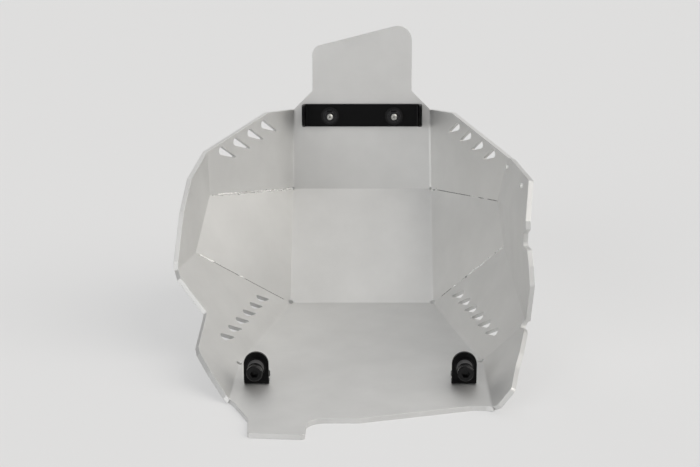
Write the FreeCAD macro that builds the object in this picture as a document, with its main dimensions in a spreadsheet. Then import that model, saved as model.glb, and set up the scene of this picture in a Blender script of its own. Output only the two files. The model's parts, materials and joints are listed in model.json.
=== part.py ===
import FreeCAD, Part
import math
import os
import Sketcher

# A motorcycle skid plate: a folded and welded aluminium tray with a steel bar
# across its front and two bolted tabs at its rear.
# Frame: X to the right, Y forward, Z up. The origin lies on the underside of the
# floor, in its centre plane, where its sides start to narrow towards the front.

# Lengths in millimetres and angles in degrees, right and left as the rider sees them
sizes = {
    # Sheet metal
    "sheet_wall": 4.0,  # thickness of the aluminium sheet
    "bend_inside": 3.0,  # inside radius of the bends
    "bend_short": 0.5,  # how far a bend's inner round ends before its corners
    "bend_over": 2.0,  # how far its outer round runs past them
    "bend_past": 1.0,  # how far both reach past the faces that they blend
    "rim_round": 3.0,  # round of the rim's corners
    "round_share": 0.45,  # share of a short side that a corner's round may take up
    "cutter_over": 4.0,  # how far the cutters of holes and vents stand past the sheet
    "relief_hole": 5.0,  # diameter of the holes where the floor's bends meet
    "ridge_hole": 3.0,  # diameter of the holes at the ridge's ends
    "rim_notch": 4.5,  # radius of the notch where two bends reach the right rim

    # Floor
    "front_half": 68.9,  # half the length of the front bend
    "ridge_half": 69.5,  # half the length of the ridge between the front panels
    "front_reach": 175.0,  # origin to the front bend
    "kink_half": 102.5,  # half the floor's full width
    "kink_left": -2.5,  # where the floor starts to narrow on the left
    "kink_right": 3.2,  # where the floor starts to narrow on the right

    # Rear edge of the floor
    "ear_reach": 156.0,  # origin to the rear end of the ear on the left
    "ear_margin": 17.8,  # the floor's side to the ear
    "ear_width": 44.7,  # width of the ear
    "ear_skew": 4.0,  # how far the ear's inner corner reaches past its outer one
    "ear_draft": 2.0,  # how far the ear narrows on its outer side
    "ear_round": 14.0,  # concave round beside the ear
    "saddle_depth": 29.0,  # the ear's end to the edge beside it
    "right_depth": 55.0,  # the ear's end to the rear edge on the right
    "right_flat": 16.0,  # the floor's side to the slanted edge
    "right_chamfer": 4.5,  # chamfer beside the right rear wing
    "wing_lap": 2.0,  # how far the right wing's bend ends behind that edge
    "left_depth": 63.0,  # the ear's end to the corner behind the left rear wing
    "left_chamfer": 4.0,  # chamfer beside the left rear wing
    "left_slant": 7.0,  # how far the left wing's bend ends before that corner

    # Front wall
    "lower_rise": 127.8,  # slope length of the lower front panel
    "lower_fold": 47.4,  # angle between the floor and the lower front panel
    "upper_fold": 40.4,  # angle between the lower and the upper front panel
    "upper_rise": 80.0,  # height of the upper front panel at its sides
    "upper_taper": 1.4,  # how much that panel narrows at each side
    "tongue_half": 49.3,  # half the width of the tongue on top
    "shoulder_rise": 18.5,  # the panel's sides to the foot of the tongue
    "tongue_left": 43.3,  # left side of the tongue
    "tongue_right": 68.1,  # right side of the tongue
    "tongue_round_left": 10.0,  # round of the tongue's left corner
    "tongue_round_right": 14.0,  # round of the tongue's right corner

    # Folds of the side panels, each from the panel that carries it
    "ml_fold": 54.0,  # left lower cheek from the lower front panel
    "mr_fold": 59.5,  # right lower cheek from the lower front panel
    "ul_fold": 58.6,  # left upper cheek from the upper front panel
    "ur_fold": 64.5,  # right upper cheek from the upper front panel
    "ll_fold": 48.9,  # left floor side from the floor
    "lr_fold": 58.5,  # right floor side from the floor
    "rl_fold": 41.7,  # left rear wing from the floor
    "rr_fold": 53.0,  # right rear wing from the floor
    "ol_fold": 29.0,  # left outer wall from the lower cheek
    "or_fold": 31.2,  # right outer wall from the lower cheek
    "ou_fold": 26.4,  # upper right outer wall from the upper cheek

    # Lengths of the welds and bends that run out to the rim
    "ul_ml_seam": 137.3,  # left upper weld
    "ml_ll_seam": 135.4,  # left lower weld
    "ur_mr_seam": 132.7,  # right upper weld
    "mr_lr_seam": 119.2,  # right lower weld
    "ul_ol_bend": 41.2,  # left upper cheek to outer wall
    "ol_ll_bend": 53.1,  # left outer wall to floor side
    "ll_rl_bend": 51.1,  # left floor side to rear wing
    "or_lr_short": 0.3,  # right outer wall to floor side, before the corner where both meet the wing
    "lr_rr_short": 3.9,  # right floor side to rear wing, before that corner
    "or_ou_crease": 184.1,  # across the right outer wall

    # Rear corner of the right upper cheek: up from the ridge and away from the bend
    "ur_rear_along": 51.3,
    "ur_rear_out": 149.5,

    # Corners of the rim by the straight line between its panel's rim ends: past its first end or
    # before its second, and outside of that line
    "ul_peak_before": 43.2,  # left upper cheek's peak
    "ul_peak_out": 8.9,
    "ur_peak_past": 44.0,  # right upper cheek's peak
    "ur_peak_out": 9.4,
    "ol_lower_past": 4.3,  # left outer wall, lower corner
    "ol_lower_out": 4.5,
    "ol_middle_past": 47.0,  # left outer wall, middle corner
    "ol_middle_out": 20.1,
    "ol_upper_before": 51.2,  # left outer wall, upper corner
    "ol_upper_out": 21.9,
    "ll_inner_past": 52.5,  # left floor side, inner corner
    "ll_inner_out": -25.0,
    "ll_outer_before": 10.1,  # left floor side, outer corner
    "ll_outer_out": -0.3,
    "rl_foot_past": 3.8,  # left rear wing, foot corner
    "rl_foot_out": 1.3,
    "rl_lower_past": 32.6,  # left rear wing, lower corner
    "rl_lower_out": 4.0,
    "rl_upper_before": 9.3,  # left rear wing, upper corner
    "rl_upper_out": 3.7,
    "rr_upper_past": 11.5,  # right rear wing, upper corner
    "rr_upper_out": 6.7,
    "rr_middle_past": 41.7,  # right rear wing, middle corner
    "rr_middle_out": 13.4,
    "rr_shoulder_before": 36.4,  # right rear wing, shoulder
    "rr_shoulder_out": 15.3,
    "rr_tail_long": 7.0,  # right rear wing, its tail past the end of its bend
    "rr_tail_low": 5.3,  # foot of the tail
    "rr_tail_high": 22.5,  # top of the tail
    "notch_upper_past": 7.7,  # right outer wall, upper end of its notch
    "notch_upper_out": 0.9,
    "notch_inner_past": 15.2,  # upper end of the notch's bottom
    "notch_inner_out": -11.3,
    "notch_deep_past": 28.1,  # lower end of the notch's bottom
    "notch_deep_out": -14.8,
    "notch_lower_past": 21.3,  # lower end of the notch
    "notch_lower_out": 8.7,
    "or_middle_past": 31.7,  # right outer wall, middle corner
    "or_middle_out": 17.6,
    "or_lower_past": 46.0,  # right outer wall, rearmost corner
    "or_lower_out": 24.2,
    "ou_front_past": 22.2,  # upper right outer wall, front corner
    "ou_front_out": 5.4,
    "ou_rear_before": 25.6,  # upper right outer wall, rear corner
    "ou_rear_out": 26.1,

    # Vents, each a teardrop, placed in their own panel
    "vent_head": 3.8,  # radius of a vent's round head
    "vent_tip": 0.85,  # radius of a vent's tip
    "ul_head_down": 9.5,  # left cheek's first head, down from the end of its fold
    "ul_head_out": 51.7,
    "ul_tip_down": 18.2,  # left cheek's first tip
    "ul_tip_out": 29.8,
    "ur_head_down": 10.6,  # right cheek's first head, down from the end of its fold
    "ur_head_out": 56.2,
    "ur_tip_down": 18.2,  # right cheek's first tip
    "ur_tip_out": 37.7,
    "cheek_step_down": 6.0,  # from one cheek vent to the next, down the fold
    "cheek_step_out": 22.3,  # from one cheek vent to the next, away from the fold
    "cheek_margin": 5.0,  # the least from a head to the end of the cheek's weld
    "ll_head_along": 52.3,  # left floor side's first head
    "ll_head_out": 25.2,
    "ll_tip_along": 36.0,  # left floor side's first tip
    "ll_tip_out": 17.8,
    "ll_step": 23.2,  # from one vent to the next on the left
    "lr_head_along": 52.6,  # right floor side's first head
    "lr_head_out": 27.0,
    "lr_tip_along": 34.0,  # right floor side's first tip
    "lr_tip_out": 19.0,
    "lr_step": 22.8,  # from one vent to the next on the right
    "floor_margin": 6.0,  # the least from a head to the end of the floor's fold

    # Rivets in the upper right outer wall
    "rivet_radius": 1.6,  # shank
    "rivet_clear": 0.15,  # radial clearance of its hole
    "rivet_head": 3.2,  # radius of the head on the outer face
    "rivet_head_height": 1.0,  # its height
    "rivet_head_edge": 0.5,  # chamfer of that head
    "rivet_tail": 2.1,  # radius of the tail on the inner face
    "rivet_tail_height": 1.8,  # its height
    "rivet_tail_edge": 0.6,  # chamfer of that tail
    "rivet_front_past": 11.1,  # front one, placed as the rim's corners are
    "rivet_front_out": -5.5,
    "rivet_rear_before": 53.6,  # rear one
    "rivet_rear_out": 12.0,

    # Front bar, a bent channel on the inner face of the upper front panel
    "bar_margin": 10.2,  # the ridge's end to the bar's end
    "bar_drop": 16.6,  # the panel's sides down to the bar's lower edge
    "bar_height": 22.4,  # height of its web
    "bar_depth": 18.0,  # depth of its end flanges
    "bar_wall": 2.5,  # wall of the channel
    "bar_bend": 2.5,  # inside radius of its bends
    "bar_step": 2.0,  # how much higher its flanges end than its web
    "bar_round": 5.0,  # round of its flanges' corners
    "bar_bore": 4.25,  # radius of the mounting bore in each flange
    "bar_bore_depth": 10.5,  # the web's back to that bore

    # Front fasteners
    "front_bolt_at": 31.8,  # bolts from the centre plane
    "front_bolt_drop": 6.0,  # the panel's sides down to the bolts
    "six_radius": 3.0,  # shank radius of the M6 screws
    "six_length": 17.0,  # length of the front screws
    "six_end": 0.8,  # chamfer at the screws' ends
    "six_clear": 0.3,  # radial clearance of their holes
    "thread_gap": 0.06,  # radial gap between a thread and its nut
    "button_radius": 6.0,  # radius of the front screws' heads
    "button_flange": 1.0,  # thickness of the head's rim
    "button_height": 3.3,  # height of the head
    "button_lip": 0.9,  # how far that rim stands out
    "button_slope": 1.4,  # chamfer of the head
    "button_key": 4.0,  # hex key of the head
    "button_key_depth": 2.0,  # depth of that socket
    "six_washer_radius": 9.0,  # washer on the bar
    "six_washer_height": 1.6,  # its thickness
    "flange_nut_key": 10.0,  # flange nut across its flats
    "flange_nut_height": 6.0,  # its height
    "flange_nut_radius": 7.1,  # radius of its flange
    "flange_nut_rim": 1.2,  # thickness of its flange

    # Rear tabs, bent strips that stand on the floor
    "tab_margin": 18.8,  # the floor's side to the tab's middle
    "tab_width": 20.0,  # width of the tab's upright
    "tab_wall": 3.0,  # wall of the tab
    "tab_bend": 3.0,  # inside radius of its bend
    "tab_back": -55.2,  # rear face of the upright
    "tab_foot_reach": 34.0,  # length of the foot
    "tab_foot_neck": 16.0,  # width of the foot
    "tab_foot_round": 9.3,  # radius of the foot's round end
    "tab_round_at": 18.0,  # centre of the tab's round top above the floor
    "tab_bore_at": 16.0,  # centre of the tab's bore above the floor

    # Fasteners on the tabs
    "eight_radius": 4.0,  # shank radius of the M8 screws
    "eight_clear": 0.25,  # radial clearance of their holes
    "eight_length": 24.0,  # length of the rear screws
    "eight_end": 1.0,  # chamfer at the screws' ends
    "cap_radius": 6.5,  # radius of the rear screws' heads
    "cap_height": 8.0,  # height of the heads
    "cap_chamfer": 0.9,  # chamfer of the heads
    "cap_key": 6.0,  # hex key of the heads
    "cap_key_depth": 4.0,  # depth of that socket
    "tab_washer_radius": 7.75,  # washer on the tab
    "tab_washer_height": 1.6,  # its thickness
    "bushing_radius": 6.5,  # radius of the bushing
    "bushing_height": 8.0,  # its length
    "lock_nut_key": 13.0,  # lock nut across its flats
    "lock_nut_height": 8.0,  # its height
    "foot_bolt_reach": 24.7,  # foot screw, forward of the tab's rear face
    "sunk_radius": 6.0,  # radius of the countersunk head
    "foot_bolt_length": 13.5,  # length of the foot screw, head and all
    "foot_bolt_sink": 0.2,  # how deep its head lies under the floor's face
    "foot_bolt_key": 4.0,  # hex key of that head
    "foot_bolt_key_depth": 2.0,  # depth of that socket
    "foot_nut_key": 10.0,  # foot nut across its flats
    "foot_nut_height": 5.0,  # its height
    "nut_slope": 60.0,  # slope of the nuts' corner chamfers from their axis
}

V = FreeCAD.Vector
doc = FreeCAD.newDocument("skid_plate_assembly")
sheet = doc.addObject("Spreadsheet::Sheet", "Sizes")
for row, (alias, value) in enumerate(sizes.items(), 1):
    sheet.set("A%d" % row, alias.replace("_", " "))
    sheet.set("B%d" % row, str(value))
    sheet.setAlias("B%d" % row, alias)
doc.recompute()


def val(alias):
    return float(sheet.get(alias))


t = val("sheet_wall")
up = V(0, 0, 1)

# For finding edges by their place: two places are one within a hair, and a bend is a long edge
hair = 0.01
long_edge = 1.0


# A flat panel of the tray, by its inner face: its fold runs from start to end, and out leads away
# from the fold across the panel
class Panel:
    def __init__(self, start, end, normal, side=1):
        self.start = start
        self.length = (end - start).Length
        self.along = (end - start).normalize()
        self.normal = normal
        self.out = normal.cross(self.along) * side

    def spot(self, along, out):
        return self.start + self.along * along + self.out * out

    def corner(self, name):
        return self.spot(val(name + "_along"), val(name + "_out"))


def folded(parent, start, end, name, side):
    turn = FreeCAD.Rotation(end - start, side * val(name + "_fold"))
    return Panel(start, end, turn.multVec(parent.normal), side)


# The end of a seam of two panels, from its start and on the guide's side
def seam(p, q, start, name, guide):
    way = p.normal.cross(q.normal).normalize()
    if way.dot(guide) < 0:
        way = way * -1
    return start + way * val(name)


# The spot that a bend from a start reaches when it ends short of a corner
def short_of(corner, start, name):
    return corner - (corner - start).normalize() * val(name)


# The point where three planes meet, each a point and a normal
def meet(one, two, three):
    (a, p), (b, q), (c, r) = one, two, three
    spread = p.dot(q.cross(r))
    return (q.cross(r) * a.dot(p) + r.cross(p) * b.dot(q) + p.cross(q) * c.dot(r)) / spread


# Floor and front wall
front_l = V(-val("front_half"), val("front_reach"), t)
front_r = V(val("front_half"), val("front_reach"), t)
kink_l = V(-val("kink_half"), val("kink_left"), t)
kink_r = V(val("kink_half"), val("kink_right"), t)
F = Panel(front_l, front_r, up)
M = folded(F, front_l, front_r, "lower", 1)
flare = V(val("ridge_half") - val("front_half"), 0, 0)
ridge_l = front_l + M.out * val("lower_rise") - flare
ridge_r = front_r + M.out * val("lower_rise") + flare
U = folded(M, ridge_l, ridge_r, "upper", 1)
taper = V(val("upper_taper"), 0, 0)
top_l = ridge_l + U.out * val("upper_rise") + taper
top_r = ridge_r + U.out * val("upper_rise") - taper

# Cheeks beside the front wall, sides beside the floor and wings at its rear
rearward = V(0, -val("ear_reach"), 0)
ML = folded(M, front_l, ridge_l, "ml", 1)
MR = folded(M, front_r, ridge_r, "mr", -1)
UL = folded(U, ridge_l, top_l, "ul", 1)
UR = folded(U, ridge_r, top_r, "ur", -1)
LL = folded(F, front_l, kink_l, "ll", -1)
LR = folded(F, front_r, kink_r, "lr", 1)
RL = folded(F, kink_l, kink_l + rearward, "rl", -1)
RR = folded(F, kink_r, kink_r + rearward, "rr", 1)

# Outer walls
ul_ml = seam(UL, ML, ridge_l, "ul_ml_seam", UL.out)
ml_ll = seam(ML, LL, front_l, "ml_ll_seam", LL.out)
ur_mr = seam(UR, MR, ridge_r, "ur_mr_seam", UR.out)
mr_lr = seam(MR, LR, front_r, "mr_lr_seam", LR.out)
ur_rear = UR.corner("ur_rear")
OL = folded(ML, ul_ml, ml_ll, "ol", -1)
OR = folded(MR, ur_mr, mr_lr, "or", 1)
OU = folded(UR, ur_mr, ur_rear, "ou", -1)
panels = {"F": F, "M": M, "U": U, "ML": ML, "MR": MR, "UL": UL, "UR": UR, "LL": LL, "LR": LR,
          "RL": RL, "RR": RR, "OL": OL, "OR": OR, "OU": OU}

# Where bends reach the rim
ul_ol = seam(UL, OL, ul_ml, "ul_ol_bend", UL.along)
ol_ll = seam(OL, LL, ml_ll, "ol_ll_bend", LL.along)
ll_rl = seam(LL, RL, kink_l, "ll_rl_bend", LL.out)
wing_corner = meet((mr_lr, OR.normal), (front_r, LR.normal), (kink_r, RR.normal))
or_lr = short_of(wing_corner, mr_lr, "or_lr_short")
lr_rr = short_of(wing_corner, kink_r, "lr_rr_short")
or_ou = seam(OR, OU, ur_mr, "or_ou_crease", OR.out)


def floor_spot(x, before_ear_end):
    return V(x, before_ear_end - val("ear_reach"), t)


# Rear edge of the floor, from right to left
half = val("kink_half")
tail_r = floor_spot(half, val("right_depth") - val("wing_lap"))
tail_l = floor_spot(-half, val("left_depth") + val("left_slant"))
ear_out = -half + val("ear_margin")
ear_in = ear_out + val("ear_width")
rear_edge = [
    (tail_r, None),
    (floor_spot(half - val("right_chamfer"), val("right_depth")), None),
    (floor_spot(half - val("right_flat"), val("right_depth")), None),
    (floor_spot(0, val("saddle_depth")), None),
    (floor_spot(ear_in, val("saddle_depth")), None, "ear_round"),
    (floor_spot(ear_in, -val("ear_skew")), None),
    (floor_spot(ear_out + val("ear_draft"), 0), None),
    (floor_spot(ear_out, val("saddle_depth")), None),
    (floor_spot(-half + val("left_chamfer"), val("left_depth")), None),
    (tail_l, "RL"),
]


# The rim of a panel: its corners are placed by the straight line between its two ends
class Rim:
    def __init__(self, panel, start, end):
        self.start = start
        self.end = end
        self.way = (end - start).normalize()
        across = panel.normal.cross(self.way)
        self.across = across if across.dot(start - panel.start) > 0 else across * -1

    def past(self, name):
        return self.start + self.way * val(name + "_past") + self.across * val(name + "_out")

    def before(self, name):
        return self.end - self.way * val(name + "_before") + self.across * val(name + "_out")


def on_front(x, rise):
    return V(x, ridge_l.y, ridge_l.z) + U.out * (val("upper_rise") + rise)


tail_end = (tail_r - kink_r).Length + val("rr_tail_long")
rim_ul = Rim(UL, ul_ol, top_l)
rim_ur = Rim(UR, top_r, ur_rear)
rim_ol = Rim(OL, ol_ll, ul_ol)
rim_ll = Rim(LL, ll_rl, ol_ll)
rim_rl = Rim(RL, tail_l, ll_rl)
rim_rr = Rim(RR, lr_rr, tail_r)
rim_or = Rim(OR, or_ou, or_lr)
rim_ou = Rim(OU, ur_rear, or_ou)
tongue = val("tongue_half")
foot = val("shoulder_rise")

# Each panel's corners in order, with the panel that it folds to on the side after the corner
layout = {
    "F": [(front_l, "M"), (front_r, "LR"), (kink_r, "RR")] + rear_edge + [(kink_l, "LL")],
    "M": [(front_l, "ML"), (ridge_l, "U"), (ridge_r, "MR"), (front_r, "F")],
    "U": [(ridge_l, "UL"), (top_l, None), (on_front(-tongue, foot), None),
          (on_front(-tongue, foot + val("tongue_left")), None, "tongue_round_left"),
          (on_front(tongue, foot + val("tongue_right")), None, "tongue_round_right"),
          (on_front(tongue, foot), None), (top_r, "UR"), (ridge_r, "M")],
    "UL": [(ridge_l, "ML"), (ul_ml, "OL"), (ul_ol, None), (rim_ul.before("ul_peak"), None),
           (top_l, "U")],
    "UR": [(ridge_r, "U"), (top_r, None), (rim_ur.past("ur_peak"), None),
           (ur_rear, "OU"), (ur_mr, "MR")],
    "ML": [(front_l, "LL"), (ml_ll, "OL"), (ul_ml, "UL"), (ridge_l, "M")],
    "MR": [(front_r, "M"), (ridge_r, "UR"), (ur_mr, "OR"), (mr_lr, "LR")],
    "OL": [(ml_ll, "LL"), (ol_ll, None), (rim_ol.past("ol_lower"), None), (rim_ol.past("ol_middle"), None),
           (rim_ol.before("ol_upper"), None), (ul_ol, "UL"), (ul_ml, "ML")],
    "LL": [(front_l, "F"), (kink_l, "RL"), (ll_rl, None), (rim_ll.past("ll_inner"), None),
           (rim_ll.before("ll_outer"), None), (ol_ll, "OL"), (ml_ll, "ML")],
    "RL": [(kink_l, "F"), (tail_l, None), (rim_rl.past("rl_foot"), None),
           (rim_rl.past("rl_lower"), None), (rim_rl.before("rl_upper"), None), (ll_rl, "LL")],
    "LR": [(front_r, "MR"), (mr_lr, "OR"), (or_lr, None), (lr_rr, "RR"), (kink_r, "F")],
    "RR": [(kink_r, "LR"), (lr_rr, None), (rim_rr.past("rr_upper"), None),
           (rim_rr.past("rr_middle"), None), (rim_rr.before("rr_shoulder"), None),
           (RR.spot(tail_end, val("rr_tail_high")), None), (RR.spot(tail_end, val("rr_tail_low")), None),
           (tail_r, "F")],
    "OR": [(mr_lr, "MR"), (ur_mr, "OU"), (or_ou, None), (rim_or.past("notch_upper"), None),
           (rim_or.past("notch_inner"), None), (rim_or.past("notch_deep"), None),
           (rim_or.past("notch_lower"), None), (rim_or.past("or_middle"), None),
           (rim_or.past("or_lower"), None), (or_lr, "LR")],
    "OU": [(ur_mr, "UR"), (ur_rear, None), (rim_ou.past("ou_front"), None),
           (rim_ou.before("ou_rear"), None), (or_ou, "OR")],
}


# The round of a corner between two neighbours: start, middle and end of its arc
def rounding(corner, before, after, radius):
    u = (before - corner).normalize()
    w = (after - corner).normalize()
    bend_half = math.acos(u.dot(w)) / 2
    room = min((before - corner).Length, (after - corner).Length) * val("round_share")
    tangent = min(radius / math.tan(bend_half), room)
    to_centre = (u + w).normalize()
    centre = corner + to_centre * (tangent / math.cos(bend_half))
    middle = centre - to_centre * (tangent * math.tan(bend_half))
    return corner + u * tangent, middle, corner + w * tangent


def flat(points):
    return Part.Face(Part.makePolygon(points + [points[0]]))


# A panel as a solid: its sides are mitred half way to the panels that it folds to, and square
# with rounded corners along the rim
def slab(name):
    panel = panels[name]
    normal = panel.normal
    corners = [entry[0] for entry in layout[name]]
    folds = [entry[1] for entry in layout[name]]
    count = len(corners)
    sides = []
    for i in range(count):
        a, b = corners[i], corners[(i + 1) % count]
        if folds[i]:
            sides.append((a, normal - panels[folds[i]].normal))
        else:
            sides.append((a, normal.cross(b - a)))
    through = normal * -t
    outer_face = (panel.start + through, normal)
    faces = []
    inner_edges = []
    outer_edges = []
    starts = []
    ends = []
    for i in range(count):
        if folds[i] or folds[i - 1]:
            spot = (corners[i], meet(outer_face, sides[i - 1], sides[i]))
            starts.append(spot)
            ends.append(spot)
        else:
            radius = val(layout[name][i][2]) if len(layout[name][i]) > 2 else val("rim_round")
            a, b, c = rounding(corners[i], corners[i - 1], corners[(i + 1) % count], radius)
            arc = Part.Arc(a, b, c).toShape()
            inner_edges.append(arc)
            outer_edges.append(arc.translated(through))
            faces.append(arc.extrude(through))
            starts.append((a, a + through))
            ends.append((c, c + through))
    for i in range(count):
        (a, a_outer), (b, b_outer) = ends[i], starts[(i + 1) % count]
        inner_edges.append(Part.makeLine(a, b))
        outer_edges.append(Part.makeLine(a_outer, b_outer))
        faces.append(flat([a, b, b_outer, a_outer]))
    for edges in (inner_edges, outer_edges):
        faces.append(Part.Face(Part.Wire(Part.sortEdges(edges)[0])))
    solid = Part.Solid(Part.makeShell(faces))
    if solid.Volume < 0:
        solid.reverse()
    return solid


slabs = [slab(name) for name in layout]


# A bar along a bend whose section is a corner with one rounded side. It starts from the line
# where the inner faces meet, and its tip lies past that corner, in the sheet or outside of it
def corner_bar(start, end, p, q, radius, past):
    share = 1 / (1 + p.dot(q))
    centre = start + (p + q) * (val("bend_inside") * share)
    middle = (p + q).normalize()
    a, b, c = centre - p * radius, centre - middle * radius, centre - q * radius
    tip = centre - (p + q) * ((radius + past) * share)
    wire = Part.Wire([Part.makeLine(tip, a), Part.Arc(a, b, c).toShape(), Part.makeLine(c, tip)])
    return Part.Face(wire).extrude(end - start)


welds = [{"UL", "ML"}, {"ML", "LL"}, {"UR", "MR"}, {"MR", "LR"}]
outward_crease = {"OR", "OU"}
fillers = []
rounders = []
bends = []
for name in layout:
    for i, entry in enumerate(layout[name]):
        fold = {name, entry[1]}
        if entry[1] is None or fold in welds or fold in bends:
            continue
        bends.append(fold)
        p, q = panels[name].normal, panels[entry[1]].normal
        start, end = entry[0], layout[name][(i + 1) % len(layout[name])][0]
        if fold == outward_crease:
            outer_line = (p + q) * (-t / (1 + p.dot(q)))
            start, end, p, q = start + outer_line, end + outer_line, p * -1, q * -1
        way = (end - start).normalize()
        short = way * val("bend_short")
        over = way * val("bend_over")
        past = val("bend_past")
        fillers.append(corner_bar(start + short, end - short, p, q, val("bend_inside"), past))
        rounders.append(corner_bar(start - over, end + over, p, q, val("bend_inside") + t, past))
plate = slabs[0].multiFuse(slabs[1:] + fillers)
plate = plate.cut(rounders)


# A round cutter through the sheet, along a direction
def drill(centre, way, diameter):
    over = val("cutter_over")
    return Part.makeCylinder(diameter / 2, t + 2 * over, centre + way * over, way * -1)


# A round cutter at a corner where bends meet, along the mean of their panels' normals
def relief(corner, around, diameter):
    way = V(0, 0, 0)
    for panel in around:
        way += panel.normal
    return drill(corner, way.normalize(), diameter)


def teardrop(panel, head, tip_end):
    big = val("vent_head")
    small = val("vent_tip")
    along = (tip_end - head).normalize()
    tip = tip_end - along * small
    side = panel.normal.cross(along)
    lean = math.acos((big - small) / (tip - head).Length)
    left = along * math.cos(lean) + side * math.sin(lean)
    right = along * math.cos(lean) - side * math.sin(lean)
    edges = [Part.Arc(head + left * big, head - along * big, head + right * big).toShape(),
             Part.makeLine(head + right * big, tip + right * small),
             Part.Arc(tip + right * small, tip_end, tip + left * small).toShape(),
             Part.makeLine(tip + left * small, head + left * big)]
    over = val("cutter_over")
    face = Part.Face(Part.Wire(edges)).translated(panel.normal * over)
    return face.extrude(panel.normal * (-t - 2 * over))


# A row of vents on a panel: as many as the room between the first head and the row's end takes
def vent_row(panel, head, tip_end, step_along, step_out, room):
    step = math.hypot(step_along, step_out)
    shift = panel.along * step_along + panel.out * step_out
    count = 1 + int(room / step)
    return [teardrop(panel, head + shift * k, tip_end + shift * k) for k in range(count)]


def cheek_vents(panel, side, seam_name):
    head = panel.spot(panel.length - val(side + "_head_down"), val(side + "_head_out"))
    tip_end = panel.spot(panel.length - val(side + "_tip_down"), val(side + "_tip_out"))
    room = val(seam_name) - val(side + "_head_out") - val("cheek_margin")
    return vent_row(panel, head, tip_end, -val("cheek_step_down"), val("cheek_step_out"), room)


def floor_side_vents(panel, side):
    room = panel.length - val(side + "_head_along") - val("floor_margin")
    return vent_row(panel, panel.corner(side + "_head"), panel.corner(side + "_tip"),
                    val(side + "_step"), 0, room)


tab_at = half - val("tab_margin")
foot_bolt_at = val("tab_back") + val("foot_bolt_reach")
sides = {"left": -1, "right": 1}
floor_hole = 2 * (val("six_radius") + val("six_clear"))
rivets = {"front": rim_ou.past("rivet_front"), "rear": rim_ou.before("rivet_rear")}
rivet_hole = 2 * (val("rivet_radius") + val("rivet_clear"))
sunk_mouth = val("sunk_radius") + val("foot_bolt_sink")


# The middle of a front bolt's hole in the panel's inner face
def front_bolt_spot(side):
    return on_front(sides[side] * val("front_bolt_at"), -val("front_bolt_drop"))


cuts = cheek_vents(UL, "ul", "ul_ml_seam") + cheek_vents(UR, "ur", "ur_mr_seam")
cuts += floor_side_vents(LL, "ll") + floor_side_vents(LR, "lr")
cuts += [drill(rivets["front"], OU.normal, rivet_hole),
         drill(rivets["rear"], OU.normal, rivet_hole),
         relief(front_l, [F, M, ML, LL], val("relief_hole")),
         relief(front_r, [F, M, MR, LR], val("relief_hole")),
         relief(kink_l, [F, LL, RL], val("relief_hole")),
         relief(kink_r, [F, LR, RR], val("relief_hole")),
         relief(ridge_l, [M, U, ML, UL], val("ridge_hole")),
         relief(ridge_r, [M, U, MR, UR], val("ridge_hole")),
         relief((or_lr + lr_rr) / 2, [OR, LR, RR], 2 * val("rim_notch"))]
for side, way in sides.items():
    cuts.append(drill(front_bolt_spot(side), U.normal, floor_hole))
    centre = V(way * tab_at, foot_bolt_at, 0)
    cuts.append(drill(centre, up, floor_hole))
    narrow = floor_hole / 2
    cuts.append(Part.makeCone(sunk_mouth + t, narrow, sunk_mouth + t - narrow, centre - up * t))
plate = plate.cut(cuts)

skid_plate = doc.addObject("Part::Feature", "skid_plate")
skid_plate.Shape = plate
skid_plate.Placement = FreeCAD.Placement()
nodes = {"skid_plate": skid_plate}


# The plane of a body's own origin
def origin_plane(body, role):
    return [f for f in body.Origin.OriginFeatures if f.Role == role][0]


def new_body(name):
    body = doc.addObject("PartDesign::Body", name)
    nodes[name] = body
    return body


def new_sketch(body, name, role):
    sketch = body.newObject("Sketcher::SketchObject", body.Name + "_" + name)
    sketch.AttachmentSupport = (origin_plane(body, role), "")
    sketch.MapMode = "FlatFace"
    return sketch


# A closed outline through corners that are pairs of expressions
def outline(sketch, corners):
    count = len(corners)
    spots = [V(sketch.evalExpression(x), sketch.evalExpression(y), 0) for x, y in corners]
    for i in range(count):
        sketch.addGeometry(Part.LineSegment(spots[i], spots[(i + 1) % count]), False)
    for i in range(count):
        sketch.addConstraint(Sketcher.Constraint("Coincident", i, 2, (i + 1) % count, 1))
        x, y = corners[i]
        if x == "0":
            sketch.addConstraint(Sketcher.Constraint("PointOnObject", i, 1, -2))
        else:
            number = sketch.addConstraint(Sketcher.Constraint("DistanceX", -1, 1, i, 1, spots[i].x))
            sketch.setExpression("Constraints[%d]" % number, x)
        if y == "0":
            sketch.addConstraint(Sketcher.Constraint("PointOnObject", i, 1, -1))
        else:
            number = sketch.addConstraint(Sketcher.Constraint("DistanceY", -1, 1, i, 1, spots[i].y))
            sketch.setExpression("Constraints[%d]" % number, y)


# A feature of a body, with its sizes and its place as expressions
def feature(body, kind, name, sizes, place=None, turn=None):
    item = body.newObject("PartDesign::" + kind, body.Name + "_" + name)
    if turn:
        item.Placement = FreeCAD.Placement(V(0, 0, 0), turn)
    for prop, text in sizes.items():
        item.setExpression(prop, text)
    for axis, text in zip("xyz", place or ()):
        item.setExpression("Placement.Base." + axis, text)
    return item


# A round piece turned about its own axis from half of its section, as pairs of radius and height
def turned_body(name, corners):
    body = new_body(name)
    section = new_sketch(body, "section", "XZ_Plane")
    outline(section, corners)
    spin = body.newObject("PartDesign::Revolution", name + "_turned")
    spin.Profile = section
    spin.ReferenceAxis = (section, ["V_Axis"])
    spin.Angle = 360
    doc.recompute()
    return body


# An edge along X of a bent strip, by its height and by its distance from the strip's outer face
def is_along_x(edge, y, z):
    box = edge.BoundBox
    straight = box.XLength > long_edge and box.YLength < hair
    return straight and abs(box.YMin - y) < hair and abs(box.ZMin - z) < hair


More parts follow.
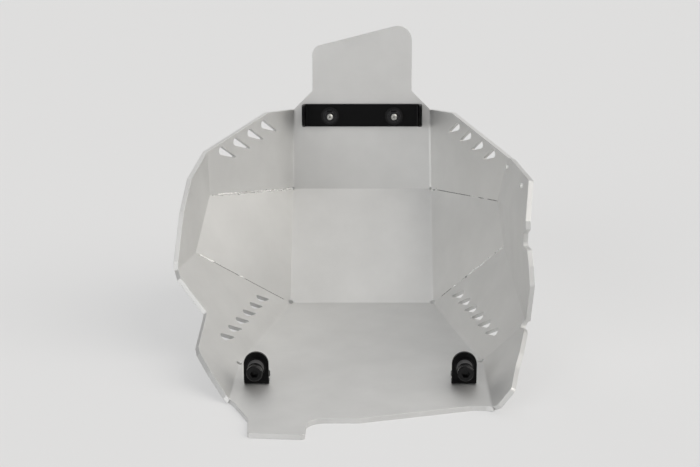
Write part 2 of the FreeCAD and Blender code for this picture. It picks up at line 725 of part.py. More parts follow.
# Rounds the edges of a body's last feature that pass the test, by a radius from the sheet
def rounded(body, name, radius, test):
    base = body.Tip
    edges = ["Edge%d" % (i + 1) for i, e in enumerate(base.Shape.Edges) if test(e)]
    item = body.newObject("PartDesign::Fillet", body.Name + "_" + name)
    item.Base = (base, edges)
    item.setExpression("Radius", radius)
    doc.recompute()
    return item


def socket(body, head_top, key, depth):
    flats = "Sizes.%s / 2 / cos(30)" % key
    feature(body, "SubtractivePrism", "socket", {"Circumradius": flats, "Height": "Sizes." + depth},
            ("0", "0", head_top))


across = FreeCAD.Rotation(V(0, 1, 0), 90)
forward = FreeCAD.Rotation(V(1, 0, 0), -90)


# Front bar: web against the upper front panel, flanges pointing back
def front_bar():
    body = new_body("front_bar")
    half = "(Sizes.ridge_half - Sizes.bar_margin)"
    inner = "(Sizes.ridge_half - Sizes.bar_margin - Sizes.bar_wall)"
    section = new_sketch(body, "section", "XY_Plane")
    outline(section, [("-" + half, "0"), (half, "0"), (half, "Sizes.bar_depth"),
                      (inner, "Sizes.bar_depth"), (inner, "Sizes.bar_wall"),
                      ("-" + inner, "Sizes.bar_wall"), ("-" + inner, "Sizes.bar_depth"),
                      ("-" + half, "Sizes.bar_depth")])
    pad = feature(body, "Pad", "channel", {"Length": "Sizes.bar_height"})
    pad.Profile = section
    doc.recompute()
    wall = val("bar_wall")

    def upright(edge, y):
        box = edge.BoundBox
        straight = box.ZLength > long_edge and box.XLength < hair and box.YLength < hair
        return straight and abs(box.YMin - y) < hair

    rounded(body, "outer_bends", "Sizes.bar_bend + Sizes.bar_wall", lambda e: upright(e, 0))
    rounded(body, "inner_bends", "Sizes.bar_bend", lambda e: upright(e, wall))
    feature(body, "SubtractiveBox", "step",
            {"Length": "2 * " + half, "Width": "Sizes.bar_depth", "Height": "Sizes.bar_step"},
            ("-" + half, "Sizes.bar_wall + Sizes.bar_bend", "0"))
    doc.recompute()
    depth = val("bar_depth")
    rounded(body, "flange_corners", "Sizes.bar_round",
            lambda e: e.BoundBox.XLength > long_edge and abs(e.BoundBox.YMin - depth) < hair)
    feature(body, "SubtractiveCylinder", "bores",
            {"Radius": "Sizes.bar_bore", "Height": "2 * " + half},
            ("-" + half, "Sizes.bar_bore_depth", "(Sizes.bar_height + Sizes.bar_step) / 2"), across)
    for side, way in (("left", ""), ("right", "-")):
        feature(body, "SubtractiveCylinder", side + "_hole",
                {"Radius": "Sizes.six_radius + Sizes.six_clear", "Height": "Sizes.bar_wall"},
                (way + "Sizes.front_bolt_at", "0", "Sizes.bar_drop - Sizes.front_bolt_drop"), forward)
    turn = FreeCAD.Rotation(V(-1, 0, 0), U.normal, U.out, "XYZ")
    body.Placement = FreeCAD.Placement(on_front(0, -val("bar_drop")), turn)


# Button head screw with a rim under its head, which lies below z = 0
def front_bolt(side):
    crown = "Sizes.button_radius - Sizes.button_lip"
    body = turned_body("front_bolt_" + side, [
        ("0", "-Sizes.button_height"), (crown + " - Sizes.button_slope", "-Sizes.button_height"),
        (crown, "-Sizes.button_height + Sizes.button_slope"), (crown, "-Sizes.button_flange"),
        ("Sizes.button_radius", "-Sizes.button_flange"), ("Sizes.button_radius", "0"),
        ("Sizes.six_radius", "0"), ("Sizes.six_radius", "Sizes.six_length - Sizes.six_end"),
        ("Sizes.six_radius - Sizes.six_end", "Sizes.six_length"), ("0", "Sizes.six_length")])
    socket(body, "-Sizes.button_height", "button_key", "button_key_depth")
    seat = front_bolt_spot(side) - U.normal * t
    body.Placement = FreeCAD.Placement(seat, FreeCAD.Rotation(up, U.normal))


# Rivet through the upper right outer wall: its head lies on the outer face at z = 0
def wall_rivet(place):
    body = turned_body("wall_rivet_" + place, [
        ("0", "-Sizes.rivet_head_height"),
        ("Sizes.rivet_head - Sizes.rivet_head_edge", "-Sizes.rivet_head_height"),
        ("Sizes.rivet_head", "-Sizes.rivet_head_height + Sizes.rivet_head_edge"),
        ("Sizes.rivet_head", "0"), ("Sizes.rivet_radius", "0"), ("Sizes.rivet_radius", "Sizes.sheet_wall"),
        ("Sizes.rivet_tail", "Sizes.sheet_wall"),
        ("Sizes.rivet_tail", "Sizes.sheet_wall + Sizes.rivet_tail_height - Sizes.rivet_tail_edge"),
        ("Sizes.rivet_tail - Sizes.rivet_tail_edge", "Sizes.sheet_wall + Sizes.rivet_tail_height"),
        ("0", "Sizes.sheet_wall + Sizes.rivet_tail_height")])
    body.Placement = FreeCAD.Placement(rivets[place] - OU.normal * t, FreeCAD.Rotation(up, OU.normal))


def cap_screw(side):
    body = turned_body("rear_cap_screw_" + side, [
        ("0", "-Sizes.cap_height"), ("Sizes.cap_radius - Sizes.cap_chamfer", "-Sizes.cap_height"),
        ("Sizes.cap_radius", "-Sizes.cap_height + Sizes.cap_chamfer"), ("Sizes.cap_radius", "0"),
        ("Sizes.eight_radius", "0"), ("Sizes.eight_radius", "Sizes.eight_length - Sizes.eight_end"),
        ("Sizes.eight_radius - Sizes.eight_end", "Sizes.eight_length"), ("0", "Sizes.eight_length")])
    socket(body, "-Sizes.cap_height", "cap_key", "cap_key_depth")
    stack = val("tab_washer_height") + val("bushing_height")
    body.Placement = FreeCAD.Placement(tab_axis(side) - V(0, stack, 0), forward)


def foot_bolt(side):
    body = turned_body("tab_foot_bolt_" + side, [
        ("0", "0"), ("Sizes.sunk_radius", "0"),
        ("Sizes.six_radius", "Sizes.sunk_radius - Sizes.six_radius"),
        ("Sizes.six_radius", "Sizes.foot_bolt_length - Sizes.six_end"),
        ("Sizes.six_radius - Sizes.six_end", "Sizes.foot_bolt_length"), ("0", "Sizes.foot_bolt_length")])
    socket(body, "0", "foot_bolt_key", "foot_bolt_key_depth")
    body.Placement.Base = V(sides[side] * tab_at, foot_bolt_at, val("foot_bolt_sink"))


# Rear tab: its rear face is at y = 0 of its own frame and its foot lies on z = 0
def rear_tab(side):
    body = new_body("rear_tab_" + side)
    section = new_sketch(body, "section", "YZ_Plane")
    outline(section, [("0", "0"), ("2 * Sizes.tab_wall + Sizes.tab_bend", "0"),
                      ("2 * Sizes.tab_wall + Sizes.tab_bend", "Sizes.tab_wall"),
                      ("Sizes.tab_wall", "Sizes.tab_wall"), ("Sizes.tab_wall", "Sizes.tab_round_at"),
                      ("0", "Sizes.tab_round_at")])
    pad = feature(body, "Pad", "angle", {"Length": "Sizes.tab_width"})
    pad.Profile = section
    pad.Midplane = True
    doc.recompute()
    wall = val("tab_wall")
    rounded(body, "outer_bend", "Sizes.tab_bend + Sizes.tab_wall", lambda e: is_along_x(e, 0, 0))
    rounded(body, "inner_bend", "Sizes.tab_bend", lambda e: is_along_x(e, wall, wall))
    feature(body, "AdditiveCylinder", "round_top",
            {"Radius": "Sizes.tab_width / 2", "Height": "Sizes.tab_wall"},
            ("0", "0", "Sizes.tab_round_at"), forward)
    foot_end = "Sizes.tab_foot_reach - Sizes.tab_foot_round"
    feature(body, "AdditiveBox", "foot",
            {"Length": "Sizes.tab_foot_neck", "Width": foot_end + " - Sizes.tab_wall - Sizes.tab_bend",
             "Height": "Sizes.tab_wall"},
            ("-Sizes.tab_foot_neck / 2", "Sizes.tab_wall + Sizes.tab_bend", "0"))
    feature(body, "AdditiveCylinder", "foot_round",
            {"Radius": "Sizes.tab_foot_round", "Height": "Sizes.tab_wall"}, ("0", foot_end, "0"))
    feature(body, "SubtractiveCylinder", "bore",
            {"Radius": "Sizes.eight_radius + Sizes.eight_clear", "Height": "Sizes.tab_wall"},
            ("0", "0", "Sizes.tab_bore_at"), forward)
    feature(body, "SubtractiveCylinder", "foot_hole",
            {"Radius": "Sizes.six_radius + Sizes.six_clear", "Height": "Sizes.tab_wall"},
            ("0", "Sizes.foot_bolt_reach", "0"))
    body.Placement.Base = V(sides[side] * tab_at, val("tab_back"), t)


# The middle of the bore in a tab's rear face
def tab_axis(side):
    return V(sides[side] * tab_at, val("tab_back"), t + val("tab_bore_at"))


def solid(kind, name, sizes, height="0"):
    item = doc.addObject("Part::" + kind, name)
    for prop, text in sizes.items():
        item.setExpression(prop, text)
    item.setExpression("Placement.Base.z", height)
    return item


def joined(kind, name, base, tool):
    item = doc.addObject("Part::" + kind, name)
    item.Base = base
    item.Tool = tool
    return item


def ring(name, radius, height, bore, place):
    disc = solid("Cylinder", name + "_disc", {"Radius": radius, "Height": height})
    hollow = solid("Cylinder", name + "_hollow", {"Radius": bore, "Height": height})
    nodes[name] = joined("Cut", name, disc, hollow)
    nodes[name].Placement = place


# A nut whose free corners are chamfered by a cone, with a flange at its seat where it has one
def nut(name, key, height, thread, place, flange=None):
    half = "Sizes.%s / 2" % key
    tall = "Sizes." + height
    prism = solid("Prism", name + "_prism", {"Circumradius": half + " / cos(30)", "Height": tall})
    cone = solid("Cone", name + "_cone",
                 {"Radius1": half + " + %s * tan(Sizes.nut_slope)" % tall, "Radius2": half, "Height": tall})
    block = joined("Common", name + "_block", prism, cone)
    if flange:
        radius, rim_height = flange
        rim = solid("Cylinder", name + "_rim", {"Radius": "Sizes." + radius, "Height": "Sizes." + rim_height})
        block = joined("Fuse", name + "_flanged", block, rim)
    bore = solid("Cylinder", name + "_bore",
                 {"Radius": "Sizes.%s + Sizes.thread_gap" % thread, "Height": tall})
    nodes[name] = joined("Cut", name, block, bore)
    nodes[name].Placement = place


six_bore = "Sizes.six_radius + Sizes.six_clear"
eight_bore = "Sizes.eight_radius + Sizes.eight_clear"
front_bar()
wall_rivet("front")
wall_rivet("rear")
for side in sides:
    front_bolt(side)
    face = front_bolt_spot(side) + U.normal * val("bar_wall")
    inward = FreeCAD.Rotation(up, U.normal)
    ring("front_washer_" + side, "Sizes.six_washer_radius", "Sizes.six_washer_height", six_bore,
         FreeCAD.Placement(face, inward))
    nut("front_flange_nut_" + side, "flange_nut_key", "flange_nut_height", "six_radius",
        FreeCAD.Placement(face + U.normal * val("six_washer_height"), inward),
        ("flange_nut_radius", "flange_nut_rim"))
    rear_tab(side)
    backward = FreeCAD.Rotation(V(1, 0, 0), 90)
    washer_end = tab_axis(side) - V(0, val("tab_washer_height"), 0)
    ring("rear_tab_washer_" + side, "Sizes.tab_washer_radius", "Sizes.tab_washer_height", eight_bore,
         FreeCAD.Placement(tab_axis(side), backward))
    ring("rear_bushing_" + side, "Sizes.bushing_radius", "Sizes.bushing_height", eight_bore,
         FreeCAD.Placement(washer_end, backward))
    cap_screw(side)
    nut("rear_lock_nut_" + side, "lock_nut_key", "lock_nut_height", "eight_radius",
        FreeCAD.Placement(tab_axis(side) + V(0, val("tab_wall"), 0), forward))
    foot_bolt(side)
    foot_top = V(sides[side] * tab_at, foot_bolt_at, t + val("tab_wall"))
    nut("tab_foot_nut_" + side, "foot_nut_key", "foot_nut_height", "six_radius",
        FreeCAD.Placement(foot_top, FreeCAD.Rotation()))

doc.recompute()
for item in doc.Objects:
    if "Invalid" in item.State or "Error" in item.State:
        raise RuntimeError(item.Label + " failed")
for name, item in nodes.items():
    if item.Shape.isNull() or not item.Shape.isValid() or item.Shape.Volume <= 0:
        raise RuntimeError(name + " has no sound shape")

os.makedirs("parts", exist_ok=True)
for name, item in nodes.items():
    item.Label = name
    item.Shape.exportStep("parts/%s.step" % name)
    print(name, len(item.Shape.Solids), "solid,", round(item.Shape.Volume), "cubic mm")
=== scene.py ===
import bmesh
import bpy
import json
import math
from mathutils import Matrix, Vector, noise


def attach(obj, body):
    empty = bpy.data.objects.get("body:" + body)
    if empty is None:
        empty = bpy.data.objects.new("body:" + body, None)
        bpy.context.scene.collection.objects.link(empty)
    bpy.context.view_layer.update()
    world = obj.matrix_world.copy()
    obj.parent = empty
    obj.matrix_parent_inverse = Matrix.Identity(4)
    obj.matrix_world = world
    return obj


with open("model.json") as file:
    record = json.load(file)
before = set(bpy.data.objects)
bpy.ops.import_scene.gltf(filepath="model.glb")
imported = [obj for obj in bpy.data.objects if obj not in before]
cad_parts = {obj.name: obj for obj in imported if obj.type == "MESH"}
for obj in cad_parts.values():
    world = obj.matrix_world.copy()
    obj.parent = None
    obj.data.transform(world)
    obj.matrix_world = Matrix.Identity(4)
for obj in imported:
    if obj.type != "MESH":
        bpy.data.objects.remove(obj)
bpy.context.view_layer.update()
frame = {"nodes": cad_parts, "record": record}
cadNodes = frame["nodes"]
scene = bpy.context.scene
scene.view_settings.view_transform = "Standard"
print("frame loaded with", len(cadNodes), "nodes")

mm = 0.001

# The camera stands where the photograph was taken from
view = {
    "place": (7.38 * mm, -1120.76 * mm, 395.54 * mm),
    "pitch": 14.0,                  # degrees down from +Y
    "focal": 1400.0,                # in pixels of the picture
    "sightPoint": (369.4, 234.0),   # the pixel straight ahead of the lens
    "picture": (700, 467),
    "sensor": 36.0,
    "clipEnd": 100,
}

# Soft studio light: a pale surround and broad lamps without hard shadows. A lamp's spread is its
# width on the sky, in degrees
studio = {
    "surround": {"colour": "#ffffff", "strength": 0.22},
    "lamps": {
        "rightKey": {"from": (0.9, -0.35, 0.8), "strength": 1.7, "spread": 60, "tint": "#fffbf5"},
        "leftLow": {"from": (-0.8, -1.0, 0.35), "strength": 1.2, "spread": 40, "tint": "#ffffff"},
        "overhead": {"from": (0.0, 0.0, 1.0), "strength": 0.45, "spread": 60, "tint": "#ffffff"},
        "frontFill": {"from": (0.0, 0.7, 0.9), "strength": 0.4, "spread": 60, "tint": "#ffffff"},
        "rightSide": {"from": (1.0, 0.1, 0.35), "strength": 0.2, "spread": 60, "tint": "#ffffff"},
    },
}

# Pale paper under the part. Glow is how much of the floor that the lens sees is plain
# background, the rest keeps the shadow
paper = {"colour": "#e1e1e1", "glow": 0.6, "size": 24.0}


# From an sRGB hex code to linear red, green, blue and alpha
def linearColour(code):
    channels = []
    for i in (1, 3, 5):
        part = int(code[i:i + 2], 16) / 255
        channels.append(part / 12.92 if part <= 0.04045 else ((part + 0.055) / 1.055) ** 2.4)
    return channels + [1.0]


# Adds one shader node: settings are its own properties, values its sockets, links its inputs from
# other outputs, and stops the places and colours of a colour ramp
def addNode(tree, kind, settings=None, values=None, links=None, stops=()):
    node = tree.nodes.new("ShaderNode" + kind)
    for name, value in (settings or {}).items():
        setattr(node, name, value)
    for socket, value in (values or {}).items():
        node.inputs[socket].default_value = value
    for socket, output in (links or {}).items():
        tree.links.new(output, node.inputs[socket])
    for index, (place, code) in enumerate(stops):
        element = node.color_ramp.elements[index]
        element.position, element.color = place, linearColour(code)
    return node


def newMaterial(name):
    material = bpy.data.materials.new(name)
    material.use_nodes = True
    material.node_tree.nodes.clear()
    return material, material.node_tree


def setCamera():
    data = bpy.data.cameras.new("photoCamera")
    width, height = view["picture"]
    data.sensor_width = view["sensor"]
    data.lens = view["sensor"] * view["focal"] / width
    data.shift_x = (width / 2 - view["sightPoint"][0]) / width
    data.shift_y = (view["sightPoint"][1] - height / 2) / width
    data.clip_end = view["clipEnd"]
    eye = bpy.data.objects.new("photoCamera", data)
    eye.location = view["place"]
    eye.rotation_euler = (math.radians(90 - view["pitch"]), 0, 0)
    scene.collection.objects.link(eye)
    scene.camera = eye


def setSurround():
    world = bpy.data.worlds.new("paleSurround")
    scene.world = world
    world.use_nodes = True
    tree = world.node_tree
    tree.nodes.clear()
    surround = studio["surround"]
    shade = addNode(tree, "Background", values={"Color": linearColour(surround["colour"]),
                                                "Strength": surround["strength"]})
    addNode(tree, "OutputWorld", links={"Surface": shade.outputs[0]})


def setLamps():
    for name, lamp in studio["lamps"].items():
        data = bpy.data.lights.new(name, "SUN")
        data.energy = lamp["strength"]
        data.angle = math.radians(lamp["spread"])
        data.color = linearColour(lamp["tint"])[:3]
        item = bpy.data.objects.new(name, data)
        item.rotation_euler = Vector(lamp["from"]).to_track_quat("Z", "Y").to_euler()
        scene.collection.objects.link(item)


def setFloor():
    shape = bmesh.new()
    bmesh.ops.create_grid(shape, x_segments=1, y_segments=1, size=paper["size"] / 2)
    mesh = bpy.data.meshes.new("paleFloor")
    shape.to_mesh(mesh)
    shape.free()
    floor = bpy.data.objects.new("paleFloor", mesh)
    scene.collection.objects.link(floor)
    material, tree = newMaterial("palePaper")
    paint = linearColour(paper["colour"])
    lit = addNode(tree, "BsdfDiffuse", values={"Color": paint})
    plain = addNode(tree, "Emission", values={"Color": paint, "Strength": 1.0})
    ray = addNode(tree, "LightPath").outputs
    seen = ray["Is Camera Ray"]
    for other in ("Is Glossy Ray", "Is Transmission Ray"):
        either = addNode(tree, "Math", {"operation": "MAXIMUM"}, links={0: seen, 1: ray[other]})
        seen = either.outputs[0]
    share = addNode(tree, "Math", {"operation": "MULTIPLY"}, {1: paper["glow"]}, {0: seen})
    shade = addNode(tree, "MixShader", links={0: share.outputs[0], 1: lit.outputs[0],
                                              2: plain.outputs[0]})
    addNode(tree, "OutputMaterial", links={"Surface": shade.outputs[0]})
    mesh.materials.append(material)


setCamera()
setSurround()
setLamps()
setFloor()
print("studio set")

# The span that most of a pattern's values fill
patternSpan = {"From Min": 0.3, "From Max": 0.7}
edgeSamples = 6

# Each finish by its real name. Grain and cloud are noise patterns, whose scale is one over a
# real size. The colours follow the cloud, or the grain where there is no cloud. Roughness and
# bump follow the grain, edge is the small rounding that catches light, and shade is what is set
# on the shader's own sockets
looks = {
    # Blasted sheet: a soft, even satin with faint clouds and a very fine grain. The grain is
    # drawn a little coarser than the real craters so that it shows, and a fifth of the surface
    # isn't metal but the dull skin that the beads leave
    "beadBlastedAluminium": {
        "grain": {"Scale": 1 / (0.35 * mm), "Detail": 2.0, "Roughness": 0.6},
        "cloud": {"Scale": 1 / (38 * mm), "Detail": 3.0, "Roughness": 0.55},
        "colours": ((0.3, "#d7d7d6"), (0.7, "#dddddc")),
        "roughness": {"To Min": 0.54, "To Max": 0.64},
        "edge": {"Radius": 0.6 * mm},
        "bump": {"Strength": 0.12, "Distance": 0.05 * mm},
        "shade": {"Metallic": 0.8},
    },
    # Powder coat: satin black with a faint orange peel. Its specular level is low, because the
    # coat swallows most of the light
    "blackPowderCoat": {
        "grain": {"Scale": 1 / (1.6 * mm), "Detail": 1.0},
        "edge": {"Radius": 0.5 * mm},
        "bump": {"Strength": 0.25, "Distance": 0.12 * mm},
        "shade": {"Base Color": linearColour("#080809"), "Roughness": 0.34,
                  "Specular IOR Level": 0.12},
    },
    # Zinc plate: a clear grey metal with small uneven patches
    "brightZincPlate": {
        "grain": {"Scale": 1 / (2.5 * mm), "Detail": 2.0},
        "colours": ((0.35, "#b4b4b0"), (0.65, "#d2d2cd")),
        "edge": {"Radius": 0.25 * mm},
        "shade": {"Metallic": 1.0, "Roughness": 0.28},
    },
    # Black oxide steel: near black, with a soft uneven sheen
    "blackOxideSteel": {
        "grain": {"Scale": 1 / (1.2 * mm), "Detail": 2.0},
        "roughness": {"To Min": 0.16, "To Max": 0.26},
        "edge": {"Radius": 0.25 * mm},
        "shade": {"Base Color": linearColour("#0d0d0e"), "Specular IOR Level": 0.22},
    },
    # The flange nuts' black oxide: the same steel, oily enough to catch the lamps
    "oiledBlackOxide": {
        "grain": {"Scale": 1 / (1.0 * mm), "Detail": 2.0},
        "roughness": {"To Min": 0.1, "To Max": 0.22},
        "edge": {"Radius": 0.4 * mm},
        "shade": {"Base Color": linearColour("#343435"), "Metallic": 1.0},
    },
    # Dense rubber: matte dark grey with a soft sheen. Its pores are drawn coarser than real
    "denseRubber": {
        "grain": {"Scale": 1 / (0.5 * mm), "Detail": 2.0},
        "bump": {"Strength": 0.2, "Distance": 0.05 * mm},
        "shade": {"Base Color": linearColour("#424243"), "Roughness": 0.62},
    },
    # Fresh weld metal: smoother than the sheet, with soft dull flecks. Its pale, less metallic
    # colour is partly painted highlight, so that the beads read as bright lines along the seams
    "weldMetalPaintedHighlight": {
        "grain": {"Scale": 1 / (1.5 * mm), "Detail": 2.0},
        "colours": ((0.3, "#dededc"), (0.55, "#f6f6f4")),
        "shade": {"Metallic": 0.6, "Roughness": 0.25},
    },
    # Rivet heads: smooth, and pale with painted highlight, so that they stand out as bright dots
    "rivetPaintedHighlight": {
        "grain": {"Scale": 1 / (1.5 * mm), "Detail": 2.0},
        "colours": ((0.3, "#dededc"), (0.55, "#f6f6f4")),
        "shade": {"Metallic": 0.4, "Roughness": 0.22},
    },
    # Dull dark grey: partly oxide and partly painted shade in the open joint at a weld's root,
    # painted shade in the punch marks, and oxide on the dark spatter drops
    "oxideAndPaintedShade": {
        "grain": {"Scale": 1 / (2.0 * mm), "Detail": 2.0},
        "colours": ((0.35, "#4c4c4a"), (0.7, "#8f8f8c")),
        "shade": {"Roughness": 0.7, "Specular IOR Level": 0.3},
    },
    # Nylon collar of a lock nut: milky plastic
    "nylonCollar": {
        "grain": {"Scale": 1 / (0.8 * mm), "Detail": 1.0},
        "colours": ((0.3, "#c9c9c4"), (0.7, "#d8d8d3")),
        "shade": {"Roughness": 0.45},
    },
}
slotLooks = {
    "plate_aluminium": "beadBlastedAluminium",
    "powder_coat": "blackPowderCoat",
    "zinc_steel": "brightZincPlate",
    "black_steel": "blackOxideSteel",
    "bushing_rubber": "denseRubber",
}
# Nodes that look different from the rest of their slot, by how their names start
# The rivets' pale colour is painted highlight
specialLooks = {"wall_rivet": "rivetPaintedHighlight", "front_flange_nut": "oiledBlackOxide"}


# Builds a finish in the piece's own coordinates, with a node for each thing that its look names
def makeFinish(name, look):
    material, tree = newMaterial(name)
    place = {"Vector": addNode(tree, "TexCoord").outputs["Object"]}
    grain = addNode(tree, "TexNoise", values=look["grain"], links=place).outputs["Fac"]
    driven = {}
    if "colours" in look:
        wide = grain
        if "cloud" in look:
            wide = addNode(tree, "TexNoise", values=look["cloud"], links=place).outputs["Fac"]
        tint = addNode(tree, "ValToRGB", links={"Fac": wide}, stops=look["colours"])
        driven["Base Color"] = tint.outputs["Color"]
    if "roughness" in look:
        rough = addNode(tree, "MapRange", values={**patternSpan, **look["roughness"]},
                        links={"Value": grain})
        driven["Roughness"] = rough.outputs["Result"]
    relief = {"Height": grain}
    if "edge" in look:
        edge = addNode(tree, "Bevel", {"samples": edgeSamples}, look["edge"])
        relief["Normal"] = driven["Normal"] = edge.outputs["Normal"]
    if "bump" in look:
        bump = addNode(tree, "Bump", values=look["bump"], links=relief)
        driven["Normal"] = bump.outputs["Normal"]
    shade = addNode(tree, "BsdfPrincipled", values=look["shade"], links=driven)
    addNode(tree, "OutputMaterial", links={"Surface": shade.outputs[0]})
    return material


finishes = {name: makeFinish(name, look) for name, look in looks.items()}
for part in frame["record"]["subparts"]:
    finish = slotLooks[part["material_slot"]]
    for start, other in specialLooks.items():
        if part["node"].startswith(start):
            finish = other
    for slot in cadNodes[part["node"]].material_slots:
        slot.material = finishes[finish]
print("finishes set")


# Makes a piece of a finished bmesh, with its normals outward
def newPiece(name, shape, finish):
    bmesh.ops.recalc_face_normals(shape, faces=shape.faces)
    mesh = bpy.data.meshes.new(name)
    shape.to_mesh(mesh)
    shape.free()
    mesh.materials.append(finishes[finish])
    mesh.shade_smooth()
    piece = bpy.data.objects.new(name, mesh)
    scene.collection.objects.link(piece)
    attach(piece, "root")


# Where the sheet's edges meet. Ends are two points on the inner faces, in mm, and faces the inner
# faces' normals. The bright and the dark runs are runs of weld, as shares of the seam's length:
# the bright beads' pale colour is partly painted highlight, and the dark lines are partly root
# oxide and partly painted shade of the open joint. Fine is how small the bright ripples are, and
# spatter is from where to where, and how many drops
seams = {
    "leftUpper": {
        "ends": ((-69.5, 261.505, 98.073), (-140.472, 145.476, 116.827)),
        "faces": ((0.853, -0.521, 0.005), (0.809, -0.430, 0.401)),
        "bright": [(0.04, 0.09), (0.12, 0.20), (0.23, 0.35), (0.38, 0.67), (0.69, 0.96)],
        "oxideAndShade": [(0.03, 0.07), (0.13, 0.16), (0.21, 0.25), (0.29, 0.31), (0.50, 0.53)],
        "fine": 1.0,
        "spatter": (0.02, 0.97, 60),
    },
    "leftLower": {
        "ends": ((-68.9, 175.0, 4.0), (-148.46, 92.423, 76.004)),
        "faces": ((0.809, -0.430, 0.401), (0.740, -0.140, 0.657)),
        "bright": [(0.50, 0.56), (0.80, 0.98)],
        "oxideAndShade": [(0.07, 0.52), (0.55, 0.97)],
        "fine": 0.9,
        "spatter": (0.74, 0.98, 9),
    },
    "rightUpper": {
        "ends": ((69.5, 261.505, 98.073), (126.361, 142.416, 112.004)),
        "faces": ((-0.902, -0.431, 0.001), (-0.862, -0.371, 0.347)),
        "bright": [(0.61, 0.67)],
        "oxideAndShade": [(0.10, 0.62), (0.72, 0.80), (0.85, 0.99)],
        "fine": 0.6,
        "spatter": (0.0, 0.1, 5),
    },
    "rightLower": {
        "ends": ((68.9, 175.0, 4.0), (129.316, 104.372, 78.634)),
        "faces": ((-0.862, -0.371, 0.347), (-0.837, -0.164, 0.522)),
        "bright": [(0.27, 0.33), (0.42, 0.72), (0.86, 0.99)],
        "oxideAndShade": [(0.12, 0.28)],
        "fine": 0.6,
        "spatter": (0.3, 0.98, 10),
    },
}
# Width, height, ripple spacing, wander off the line and sink into the sheet in mm, and the
# ripples' depth as a share of the bead
weldLooks = {
    "outside": {"width": 6.2, "height": 1.5, "ripple": 2.6, "depth": 0.28, "wander": 0.15,
                "sink": 0.2},
    "bright": {"width": 1.8, "height": 0.9, "ripple": 1.7, "depth": 0.75, "wander": 0.7,
               "sink": 0.05},
    "oxideAndShade": {"width": 0.9, "height": 0.3, "ripple": 5.0, "depth": 0.25, "wander": 0.12,
              "sink": 0.05},
}
outsideRun = (0.05, 0.97)   # where the outside bead starts and ends, as shares of the seam
sheetWall = 4.0             # in mm
# How a bead is drawn: rings per ripple, points per ring, the run in mm over which its ends swell
# up from the blunt share, and the noise that makes it uneven and lets it wander
bead = {"rings": 6, "points": 12, "taper": 4.0, "blunt": 0.4, "uneven": 0.35, "unevenRun": 3.0,
        "wanderRun": 4.0, "wanderFrom": (7, 3, 5)}
# Frozen drops beside a seam: their radii, how far they land and how deep they sit, in mm, and
# where in the noise each drop's dice are read
spatter = {"small": 0.5, "large": 1.5, "scatter": 3.6, "sink": 0.1, "facets": 1, "uneven": 0.8,
           "diceStep": 1.7, "diceRow": (3.1, 0.4), "asideDice": 2.3, "sizeDice": 3.1}


# One swept bead: its rings swell and shrink as the pool froze, ripple after ripple
def addBead(shape, start, end, out, look):
    along = (end - start).normalized()
    across = out.cross(along).normalized()
    turn = Matrix((across, out, along)).transposed().to_4x4()
    length = (end - start).length
    rings = bead["rings"]
    steps = max(rings, round(length / look["ripple"] * rings))
    ring = bmesh.ops.create_circle(shape, cap_ends=True, segments=bead["points"],
                                   radius=1)["verts"]
    cap = ring[0].link_faces[0]
    before = Matrix.Identity(4)
    for step in range(steps + 1):
        share = step / steps
        phase = (step % rings) / rings
        place = start.lerp(end, share)
        rough = bead["uneven"] * look["depth"] * noise.noise(place / bead["unevenRun"])
        swell = 1 - look["depth"] * phase + rough
        swell *= min(1, bead["blunt"] + share * length / bead["taper"],
                     bead["blunt"] + (1 - share) * length / bead["taper"])
        drift = noise.noise(place / bead["wanderRun"] + Vector(bead["wanderFrom"]))
        middle = place + across * look["wander"] * drift - out * look["sink"]
        size = (look["width"] / 2 * swell * mm, look["height"] * swell * mm, mm, 1)
        now = Matrix.Translation(middle * mm) @ turn @ Matrix.Diagonal(size)
        bmesh.ops.transform(shape, matrix=now @ before.inverted(), verts=ring)
        before = now
        if step < steps:
            grown = bmesh.ops.extrude_face_region(shape, geom=[cap])["geom"]
            ring = [part for part in grown if isinstance(part, bmesh.types.BMVert)]
            cap = [part for part in grown if isinstance(part, bmesh.types.BMFace)][0]


# Drops set out along a run of the seam by a fixed noise, shared out among the given shapes
def addSpatter(shapes, start, end, out, run):
    near, far, count = run
    across = out.cross(end - start).normalized()
    for drop in range(count):
        dice = Vector((drop * spatter["diceStep"], *spatter["diceRow"]))
        along = (drop + 0.5 + spatter["uneven"] * noise.noise(dice)) / count
        place = start.lerp(end, near + (far - near) * along)
        place += across * spatter["scatter"] * noise.noise(dice * spatter["asideDice"])
        growth = abs(noise.noise(dice * spatter["sizeDice"]))
        size = spatter["small"] + (spatter["large"] - spatter["small"]) * growth
        shape = shapes[drop % len(shapes)]
        ball = bmesh.ops.create_icosphere(shape, subdivisions=spatter["facets"],
                                          radius=size * mm)["verts"]
        bmesh.ops.translate(shape, verts=ball, vec=(place - out * spatter["sink"]) * mm)


def makeWelds():
    shapes = {kind: bmesh.new() for kind in weldLooks}
    for seam in seams.values():
        start, end = [Vector(point) for point in seam["ends"]]
        first, second = [Vector(normal) for normal in seam["faces"]]
        inward = (first + second).normalized()
        outer = -inward * sheetWall / inward.dot(first)
        near, far = [start.lerp(end, share) + outer for share in outsideRun]
        addBead(shapes["outside"], near, far, -inward, weldLooks["outside"])
        for kind in ("bright", "oxideAndShade"):
            look = dict(weldLooks[kind])
            if kind == "bright":
                for measure in ("width", "height", "wander"):
                    look[measure] *= seam["fine"]
            for near, far in seam[kind]:
                addBead(shapes[kind], start.lerp(end, near), start.lerp(end, far), inward, look)
        # Two drops in three are bright
        addSpatter((shapes["bright"], shapes["bright"], shapes["oxideAndShade"]), start, end, inward,
                   seam["spatter"])
    newPiece("weldBeads", shapes["outside"], "beadBlastedAluminium")
    # The ripples' pale colour is partly painted highlight
    newPiece("weldRipples", shapes["bright"], "weldMetalPaintedHighlight")
    # The roots' dark grey is partly painted shade of the open joint between the sheets
    newPiece("weldRoots", shapes["oxideAndShade"], "oxideAndPaintedShade")


makeWelds()
print("welds made")

sides = {"Left": -1, "Right": 1}    # and the sign of x there

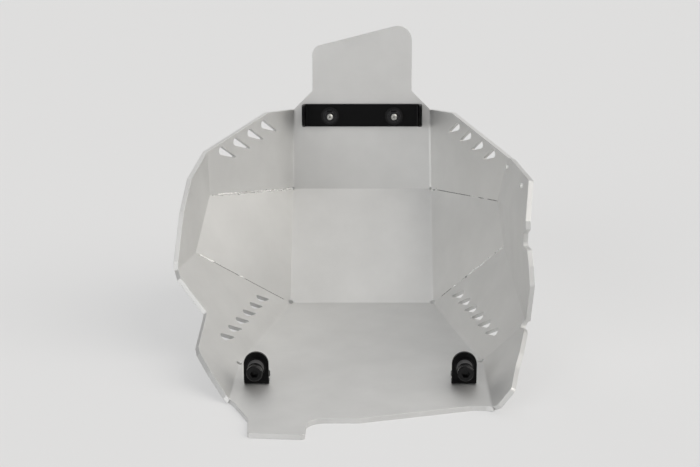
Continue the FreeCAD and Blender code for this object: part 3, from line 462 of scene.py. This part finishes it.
# Bare screw ends of the right side, in mm: where the nut ends, which way the screw goes on, its
# radius, pitch and free length, and its material slot. The left side mirrors their places
screwEnds = {
    "frontStud": {"at": (31.8, 254.25, 172.41), "way": (0, -0.9993, 0.0384), "radius": 3.0,
                  "pitch": 1.0, "free": 2.1, "slot": "zinc_steel"},
    "footBolt": {"at": (83.7, -30.5, 12.0), "way": (0, 0, 1), "radius": 3.0, "pitch": 1.0,
                 "free": 0.9, "slot": "zinc_steel"},
    "pegScrew": {"at": (83.7, -44.2, 20.0), "way": (0, 1, 0), "radius": 4.0, "pitch": 1.25,
                 "free": 2.4, "slot": "black_steel"},
}
# The ridge's height over and under the screw's surface in mm, half its width as a share of the
# pitch, and its steps per turn
thread = {"proud": 0.14, "sunk": 0.3, "flank": 0.42, "steps": 28}


# Where a screw leaves its nut on one side, in mm, and which way it goes on
def endOf(screw, side):
    x, y, z = screw["at"]
    return Vector((x * sides[side], y, z)), Vector(screw["way"]).normalized()


# A thread is a small ridge profile spun round the screw while it climbs
def makeThread(kind, side):
    screw = screwEnds[kind]
    at, way = endOf(screw, side)
    at *= mm
    out = way.orthogonal().normalized()
    turns = screw["free"] / screw["pitch"]
    steps = round(thread["steps"] * turns)
    half = screw["pitch"] * thread["flank"] * mm
    low = (screw["radius"] - thread["sunk"]) * mm
    high = (screw["radius"] + thread["proud"]) * mm
    shape = bmesh.new()
    corners = [at + out * low - way * half, at + out * high, at + out * low + way * half]
    profile = shape.faces.new([shape.verts.new(corner) for corner in corners])
    bmesh.ops.spin(shape, geom=[profile], cent=at, axis=way,
                   dvec=way * screw["free"] * mm / steps, angle=math.tau * turns, steps=steps,
                   use_merge=False)
    newPiece(kind + side + "Thread", shape, slotLooks[screw["slot"]])


for kind in screwEnds:
    for side in sides:
        makeThread(kind, side)
print("threads made")

# The punch mark in the middle of each front stud's end, drawn as a shallow dark grey disc of
# painted
# shade for the dimple: radii and depth in mm, and how far it lies from the nut
punch = {"outer": 1.1, "inner": 0.5, "deep": 0.16, "reach": 2.95, "segments": 20}


def makePunchMark(side):
    at, way = endOf(screwEnds["frontStud"], side)
    shape = bmesh.new()
    bmesh.ops.create_cone(shape, cap_ends=True, segments=punch["segments"],
                          radius1=punch["outer"] * mm, radius2=punch["inner"] * mm,
                          depth=punch["deep"] * mm)
    place = Matrix.Translation((at + way * punch["reach"]) * mm)
    turn = way.to_track_quat("Z", "Y").to_matrix().to_4x4()
    bmesh.ops.transform(shape, matrix=place @ turn, verts=shape.verts)
    # Its dark grey is painted shade of the dimple
    newPiece("punchMark" + side, shape, "oxideAndPaintedShade")


for side in sides:
    makePunchMark(side)
print("punch marks made")

# The lock nuts' nylon collars: a rounded ring between the screw and the nut's end, in mm
collar = {"inner": 4.0, "outer": 5.3, "proud": 0.45, "points": 10, "steps": 32}


def makeCollar(side):
    at, way = endOf(screwEnds["pegScrew"], side)
    at *= mm
    middle = (collar["inner"] + collar["outer"]) / 2
    across = (collar["outer"] - collar["inner"]) / 2
    shape = bmesh.new()
    ring = bmesh.ops.create_circle(shape, segments=collar["points"], radius=1)["verts"]
    place = Matrix.Translation(at + Vector((middle * mm, 0, 0)))
    size = Matrix.Diagonal((across * mm, collar["proud"] * mm, 1, 1))
    bmesh.ops.transform(shape, matrix=place @ size, verts=ring)
    bmesh.ops.spin(shape, geom=shape.edges[:], cent=at, axis=way, dvec=(0, 0, 0),
                   angle=math.tau, steps=collar["steps"], use_merge=True)
    newPiece("lockCollar" + side, shape, "nylonCollar")


for side in sides:
    makeCollar(side)
print("collars made")
